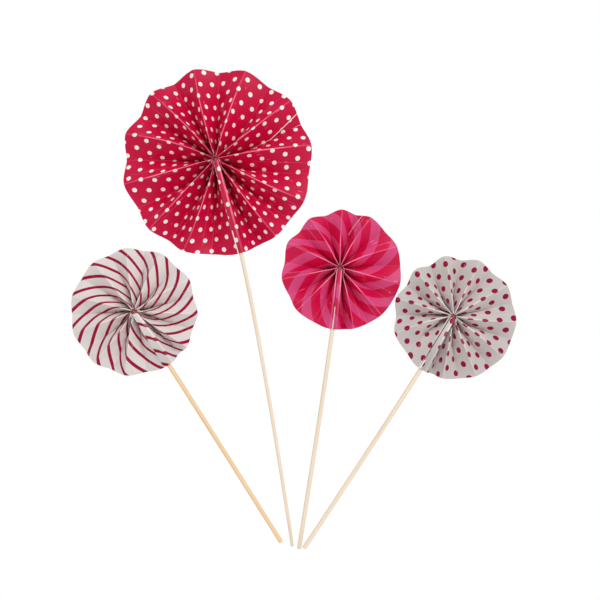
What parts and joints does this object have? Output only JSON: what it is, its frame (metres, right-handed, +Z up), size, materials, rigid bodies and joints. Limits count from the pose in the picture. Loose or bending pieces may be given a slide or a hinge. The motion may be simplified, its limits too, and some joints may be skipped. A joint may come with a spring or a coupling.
{
  "type": "paper fan cake topper",
  "caption": "Set of round pleated paper fans in different sizes on thin wooden sticks, which stand in a cake as decoration.",
  "frame": {"origin": "middle of the lower end of the large fan's stick, which is the deepest point in the cake", "axes": "+Z up, -Y towards the viewer, who sees the printed side of the fans; +X to the viewer's right"},
  "size_m": [0.233, 0.0425, 0.2645],
  "materials": {
    "red_paper": "satin, dark red printed with white dots",
    "pink_paper": "satin, two pinks printed in slanted stripes of one width",
    "striped_paper": "matt, white printed with thin slanted crimson lines",
    "dotted_paper": "matt, white printed with small crimson dots",
    "pale_wood": "bare, fine-grained",
    "golden_wood": "bare, fine-grained",
    "clear_glue": "glossy, milky hot glue"
  },
  "bodies": {
    "big_fan": {"big_fan_short_strip": "red_paper", "big_fan_long_strip": "red_paper", "big_fan_tab_glue": "clear_glue", "big_fan_centre_glue": "clear_glue", "big_fan_stick": "pale_wood", "big_fan_stick_glue": "clear_glue"},
    "striped_fan": {"striped_fan_pleated_strip": "striped_paper", "striped_fan_centre_glue": "clear_glue", "striped_fan_stick": "golden_wood", "striped_fan_stick_glue": "clear_glue"},
    "pink_fan": {"pink_fan_short_strip": "pink_paper", "pink_fan_long_strip": "pink_paper", "pink_fan_tab_glue": "clear_glue", "pink_fan_centre_glue": "clear_glue", "pink_fan_stick": "pale_wood", "pink_fan_stick_glue": "clear_glue"},
    "dotted_fan": {"dotted_fan_pleated_strip": "dotted_paper", "dotted_fan_centre_glue": "clear_glue", "dotted_fan_stick": "pale_wood", "dotted_fan_stick_glue": "clear_glue"}
  },
  "joints": [
    {"name": "striped_fan_out_of_cake", "type": "slide", "parent": "big_fan", "child": "striped_fan", "axis": [-0.5314, 0, 0.8471], "range_m": [0, 0.075]},
    {"name": "pink_fan_out_of_cake", "type": "slide", "parent": "big_fan", "child": "pink_fan", "axis": [0.159, 0, 0.9873], "range_m": [0, 0.075]},
    {"name": "dotted_fan_out_of_cake", "type": "slide", "parent": "big_fan", "child": "dotted_fan", "axis": [0.5537, 0, 0.8327], "range_m": [0, 0.075]}
  ]
}
